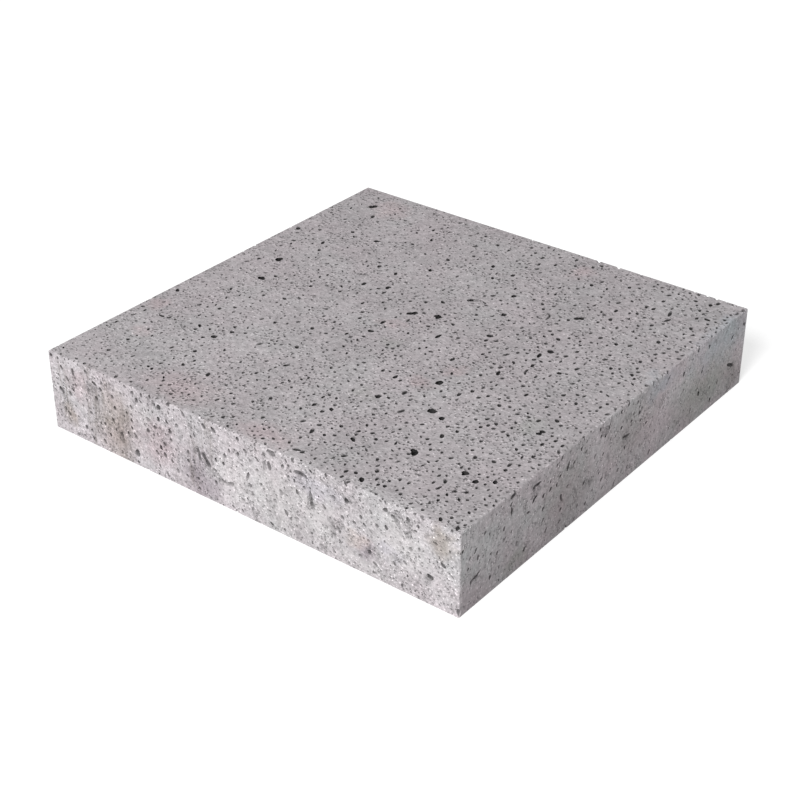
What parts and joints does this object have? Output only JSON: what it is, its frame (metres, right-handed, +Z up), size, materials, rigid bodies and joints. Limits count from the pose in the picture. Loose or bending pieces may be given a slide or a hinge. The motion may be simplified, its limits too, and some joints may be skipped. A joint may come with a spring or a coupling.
{
  "type": "concrete paving slab",
  "caption": "Square cast concrete paving slab with flat sides, an eased top arris and a walking face pitted with blow holes; beds flat on sand or mortar to pave a path or terrace.",
  "frame": {"origin": "middle of the bed face, on the surface that the slab lies on", "axes": "+X along the length, +Y along the width, +Z up through the walking face"},
  "size_m": [0.4, 0.4, 0.07],
  "materials": {
    "cast_concrete": "matt cast concrete, light warm grey, pitted, with pale lime bloom and faint rust-brown stains on the sides"
  },
  "bodies": {
    "root": {"slab": "cast_concrete"}
  },
  "joints": []
}
